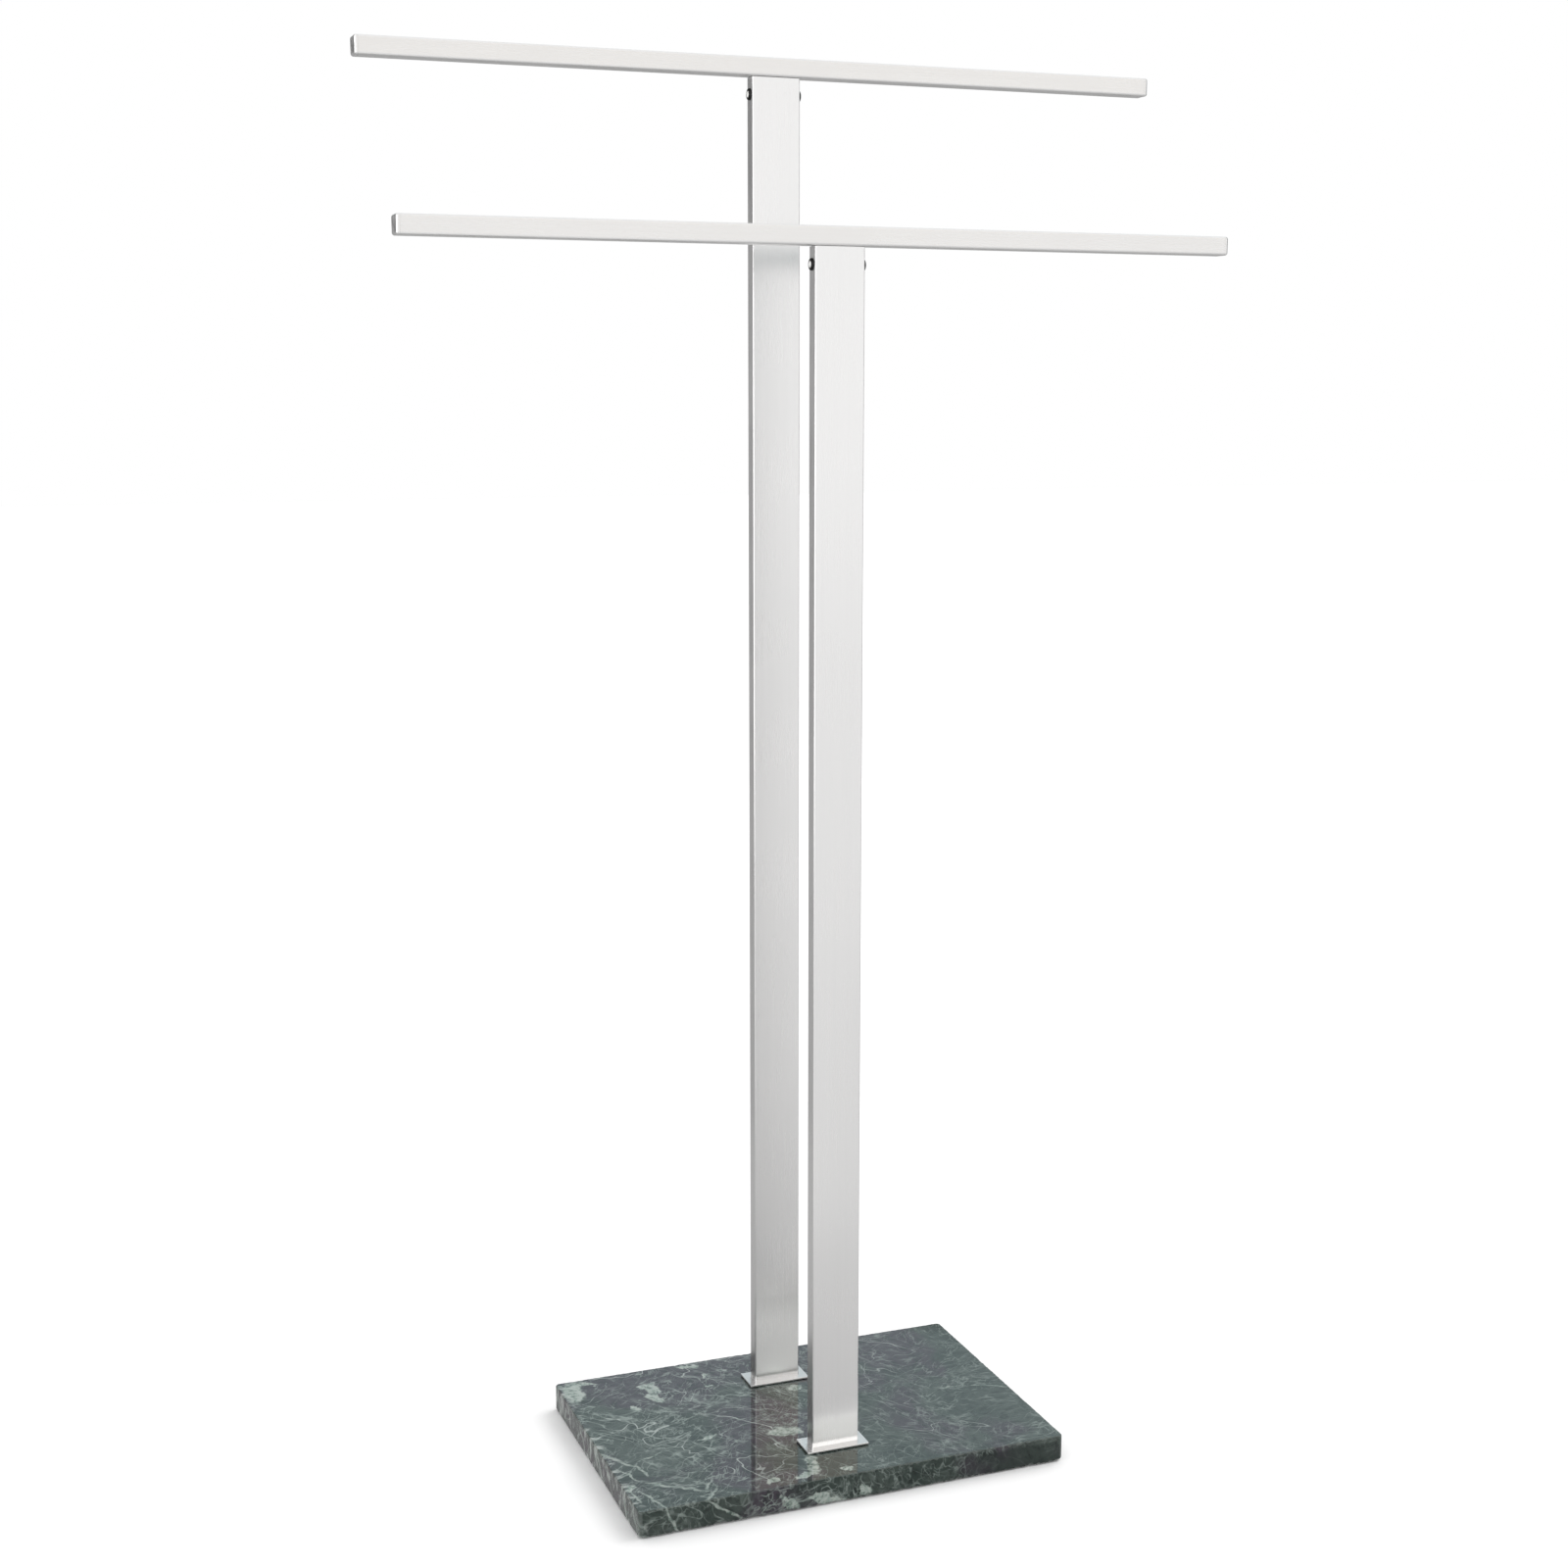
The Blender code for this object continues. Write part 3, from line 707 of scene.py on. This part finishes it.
def make_clamp_screws(material):
    """Low button heads with a hexagon socket."""
    head_radius, crown_radius = 3.8 * MM, 2.5 * MM
    head_height, rim_height = 1.2 * MM, 0.4 * MM
    socket_width, socket_depth = 3.0 * MM, 0.8 * MM
    shank_radius, shank_length, point_chamfer = 1.9 * MM, 9 * MM, 0.5 * MM
    socket_chamfer = 0.1 * MM
    sections = [
        (-shank_length, circle(shank_radius - point_chamfer)),
        (-shank_length + point_chamfer, circle(shank_radius)),
        (0, circle(shank_radius)),
        (0, circle(head_radius)),
    ]
    for step in range(ARC_STEPS + 1):
        angle = step / ARC_STEPS * math.pi / 2
        radius = crown_radius + (head_radius - crown_radius) * math.cos(angle)
        height = rim_height + (head_height - rim_height) * math.sin(angle)
        sections.append((height, circle(radius)))
    sections += [
        (head_height, hexagon(socket_width + 2 * socket_chamfer)),
        (head_height - socket_chamfer, hexagon(socket_width)),
        (head_height - socket_depth, hexagon(socket_width)),
    ]
    for row in ("rear", "front"):
        for side, sign in (("left", -1), ("right", 1)):
            node = f"{row}_{side}_clamp_screw"
            box = Extent(node)
            crown = box.low.x if sign < 0 else box.high.x
            place = Matrix.Translation((crown - sign * head_height, box.middle.y, box.middle.z))
            facing = Matrix.Rotation(sign * math.pi / 2, 4, "Y") @ Matrix.Rotation(math.pi / 6, 4, "Z")
            screw = loft(f"{row}_{side}_button_screw", sections, place @ facing)

            def in_socket(point):
                off_axis = math.hypot(point.y - box.middle.y, point.z - box.middle.z)
                return off_axis < 0.6 * socket_width and abs(point.x - crown) < socket_depth + GAP

            # the socket gets a painted highlight of bright bare steel
            mark_wear_and_highlight(screw, in_socket)
            present(screw, material, "blackened_steel", node)


def make_base_fixings(material):
    """Socket cap screws and their washers, in the counterbores under the slab."""
    head_radius, head_height = 4.25 * MM, 5 * MM
    socket_width, socket_depth = 4 * MM, 2.5 * MM
    socket_chamfer, chamfer = 0.2 * MM, 0.5 * MM
    for row in ("rear", "front"):
        for side in ("left", "right"):
            node = f"{row}_{side}_base_screw"
            box = Extent(node)
            bottom, top = box.low.z, box.high.z
            sections = [
                (bottom + socket_depth, hexagon(socket_width)),
                (bottom + socket_chamfer, hexagon(socket_width)),
                (bottom, hexagon(socket_width + 2 * socket_chamfer)),
                (bottom, circle(head_radius - chamfer)),
                (bottom + chamfer, circle(head_radius)),
                (bottom + head_height, circle(head_radius)),
                (bottom + head_height, circle(SHANK_RADIUS)),
                (top - chamfer, circle(SHANK_RADIUS)),
                (top, circle(SHANK_RADIUS - chamfer)),
            ]
            screw = loft(f"{row}_{side}_cap_screw", sections, box.upright())
            present(screw, material, "plain_steel", node)
            node = f"{row}_{side}_base_washer"
            ring = Extent(node)
            outer, inner = circle(ring.size.x / 2), circle(SHANK_RADIUS + GAP)
            low, high = ring.low.z, ring.high.z
            sections = [(low, outer), (high, outer), (high, inner), (low, inner)]
            washer = ring_loft(f"{row}_{side}_washer", sections, box.upright())
            present(washer, material, "plain_steel", node)


def make_pads(material):
    for row in ("rear", "front"):
        for side in ("left", "right"):
            node = f"{row}_{side}_foot_pad"
            box = Extent(node)
            sections = []
            for level, direction in ((box.low.z, -1), (box.high.z, 1)):
                arc = []
                for step in range(ARC_STEPS + 1):
                    angle = step / ARC_STEPS * math.pi / 2
                    inset = PAD_EDGE_RADIUS * (1 - math.cos(angle))
                    drop = PAD_EDGE_RADIUS * (1 - math.sin(angle))
                    arc.append((level - direction * drop, circle(box.size.x / 2 - inset)))
                sections += reversed(arc) if direction < 0 else arc
            pad = loft(f"{row}_{side}_rubber_pad", sections, box.upright())
            present(pad, material, "pad_rubber", node)


def dress_inner_steel(material):
    """The pieces out of sight inside the posts keep their CAD meshes."""
    for row in ("rear", "front"):
        for part in ("anchor_block", "bar_tongue"):
            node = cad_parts[f"{row}_{part}"]
            node.data.materials.clear()
            node.data.materials.append(material)


# ---------------------------------------------------------------------------
# Stage: floor, light and camera
# ---------------------------------------------------------------------------


def plane(name, corners, colour, strength=None):
    """A flat polygon on the stage: a plain surface, or a glowing card if it has a strength."""
    mesh = bmesh.new()
    mesh.faces.new([mesh.verts.new(corner) for corner in corners])
    data = bpy.data.meshes.new(name)
    mesh.to_mesh(data)
    mesh.free()
    surface = bpy.data.objects.new(name, data)
    bpy.context.scene.collection.objects.link(surface)
    material = bpy.data.materials.new(name)
    material.use_nodes = True
    shader = material.node_tree.nodes["Principled BSDF"]
    shader.inputs["Base Color"].default_value = (*colour, 1.0)
    shader.inputs["Roughness"].default_value = 0.9
    shader.inputs["Specular IOR Level"].default_value = 0.0
    if strength is not None:
        shader.inputs["Base Color"].default_value = (0, 0, 0, 1.0)
        shader.inputs["Emission Color"].default_value = (*colour, 1.0)
        shader.inputs["Emission Strength"].default_value = strength
    surface.data.materials.append(material)
    return surface


def reflected_card(name, corners, tone, colour=(1.0, 1.0, 1.0)):
    """An evenly lit card that shows in polished metal and stone, and nowhere else."""
    card = plane(name, corners, colour, tone)
    card.visible_camera = False
    card.visible_diffuse = False
    card.visible_transmission = False
    card.visible_shadow = False


def around(bearing, distance, height):
    """A point round the stand, by its bearing from straight behind, positive to the right."""
    angle = math.radians(bearing)
    return (distance * math.sin(angle), distance * math.cos(angle), height)


def standing_card(name, bearings, distance, heights, tone, colour=(1.0, 1.0, 1.0)):
    corners = [
        around(bearings[0], distance, heights[0]),
        around(bearings[1], distance, heights[0]),
        around(bearings[1], distance, heights[1]),
        around(bearings[0], distance, heights[1]),
    ]
    reflected_card(name, corners, tone, colour)


def lying_card(name, outline, level, tone):
    """A card just over the floor. A higher level hides what lies under it."""
    reflected_card(name, [(x, y, level * CARD_SPACING) for x, y in outline], tone)


def low_light(name, low, high, level, radiance):
    """A light that lies facing up, and shows only in polished surfaces above it."""
    lamp = bpy.data.lights.new(name, "AREA")
    lamp.shape = "RECTANGLE"
    lamp.size = high[0] - low[0]
    lamp.size_y = high[1] - low[1]
    lamp.energy = radiance * math.pi * lamp.size * lamp.size_y
    light = bpy.data.objects.new(name, lamp)
    light.location = ((low[0] + high[0]) / 2, (low[1] + high[1]) / 2, level)
    light.rotation_euler = (math.pi, 0, 0)
    light.visible_camera = False
    light.visible_diffuse = False
    bpy.context.scene.collection.objects.link(light)


def make_floor():
    wide = 14.0
    square = [(-wide, -wide), (wide, -wide), (wide, wide), (-wide, wide)]
    floor = plane("floor", [(x, y, 0) for x, y in square], (0.93, 0.93, 0.93))
    floor.visible_glossy = False


def make_mirrored_floor():
    """The floor as polished surfaces see it: darker near the stand and behind it."""
    half = 7.0
    lying_card("mirrored_floor", [(-half, -half), (half, -half), (half, half), (-half, half)], 1, 0.86)
    in_front = [(-3.0, 0.1), (-3.0, -0.35), (0.13, -0.48), (0.62, -1.22), (3.0, -1.22), (3.0, 0.1)]
    lying_card("mirrored_floor_in_front", in_front, 2, 0.63)
    lying_card("mirrored_floor_behind", [(-3.2, -0.4), (3.2, 0.12), (3.2, 3.2), (-3.2, 3.2)], 3, 0.35)
    lying_card("mirrored_floor_on_the_left", [(0, -0.3), (0, 0.66), (-0.5, 0.55), (-0.7, -0.3)], 4, 0.43)


def make_cards():
    """Dark flags and bright cards round the stand."""
    standing_card("low_flag_on_the_left", (-96, -4), 3.0, (0, 1.0), 0.30)
    standing_card("high_flag_on_the_left", (-96, -4), 3.0, (1.0, 3.4), 0.20)
    standing_card("black_flag", (-44, -4), 2.9, (0.88, 2.6), 0.01)
    standing_card("low_card_behind", (-4, 62), 3.0, (0, 1.04), 0.28)
    standing_card("cool_card_behind", (-4, 62), 3.05, (1.04, 3.0), 0.86, (0.80, 0.95, 1.0))
    standing_card("flag_on_the_right", (62, 112), 3.0, (0, 3.4), 0.25)
    standing_card("bright_card_in_front", (-145, -100), 2.4, (0, 2.6), 2.2)
    standing_card("warm_card_in_front", (135, 185), 8.0, (3.2, 4.3), 0.90, (1.0, 0.86, 0.68))


def make_foot_lights():
    """Lights that the posts' front faces mirror over the dark slab, which keep their feet pale."""
    above_plate, clear_of_post = 0.1 * MM, 9 * MM
    slab = Extent("base_slab")
    for row, radiance in (("rear", 0.42), ("front", 0.16)):
        post = Extent(f"{row}_post")
        level = Extent(f"{row}_foot_plate").high.z + above_plate
        start, end = (post.low.x, slab.low.y), (0.7 * slab.high.x, post.low.y - clear_of_post)
        low_light(f"foot_light_{row}", start, end, level, radiance)


def make_daylight():
    """A white surround and a very soft key light from the upper right."""
    world = bpy.data.worlds.new("studio")
    world.use_nodes = True
    background = world.node_tree.nodes["Background"]
    background.inputs["Color"].default_value = (1.0, 1.0, 1.0, 1.0)
    background.inputs["Strength"].default_value = 1.0
    bpy.context.scene.world = world
    sun = bpy.data.lights.new("key", "SUN")
    sun.energy = 1.0
    sun.angle = math.radians(40)
    key = bpy.data.objects.new("key", sun)
    key.rotation_euler = (math.radians(-6), math.radians(40), 0)
    key.visible_glossy = False
    bpy.context.scene.collection.objects.link(key)


def make_camera():
    tilt_down, turn_right = math.radians(9.825), math.radians(20.964)
    lens = bpy.data.cameras.new("camera")
    lens.lens = 51.54
    lens.sensor_width = 36.0
    camera = bpy.data.objects.new("camera", lens)
    camera.location = (-0.5350, -1.3602, 0.7122)
    camera.rotation_euler = (math.pi / 2 - tilt_down, 0, -turn_right)
    bpy.context.scene.collection.objects.link(camera)
    bpy.context.scene.camera = camera
    bpy.context.scene.view_settings.view_transform = "Standard"


# ---------------------------------------------------------------------------


def main():
    upright_steel = brushed_steel("brushed_steel_upright", "Z")
    level_steel = brushed_steel("brushed_steel_level", "X")
    plain = plain_steel()
    make_slab(green_marble())
    make_pads(pad_rubber())
    make_posts(upright_steel)
    make_plates(level_steel)
    make_bars(level_steel)
    make_clamp_screws(blackened_steel())
    make_base_fixings(plain)
    dress_inner_steel(plain)
    make_floor()
    make_mirrored_floor()
    make_cards()
    make_foot_lights()
    make_daylight()
    make_camera()


main()
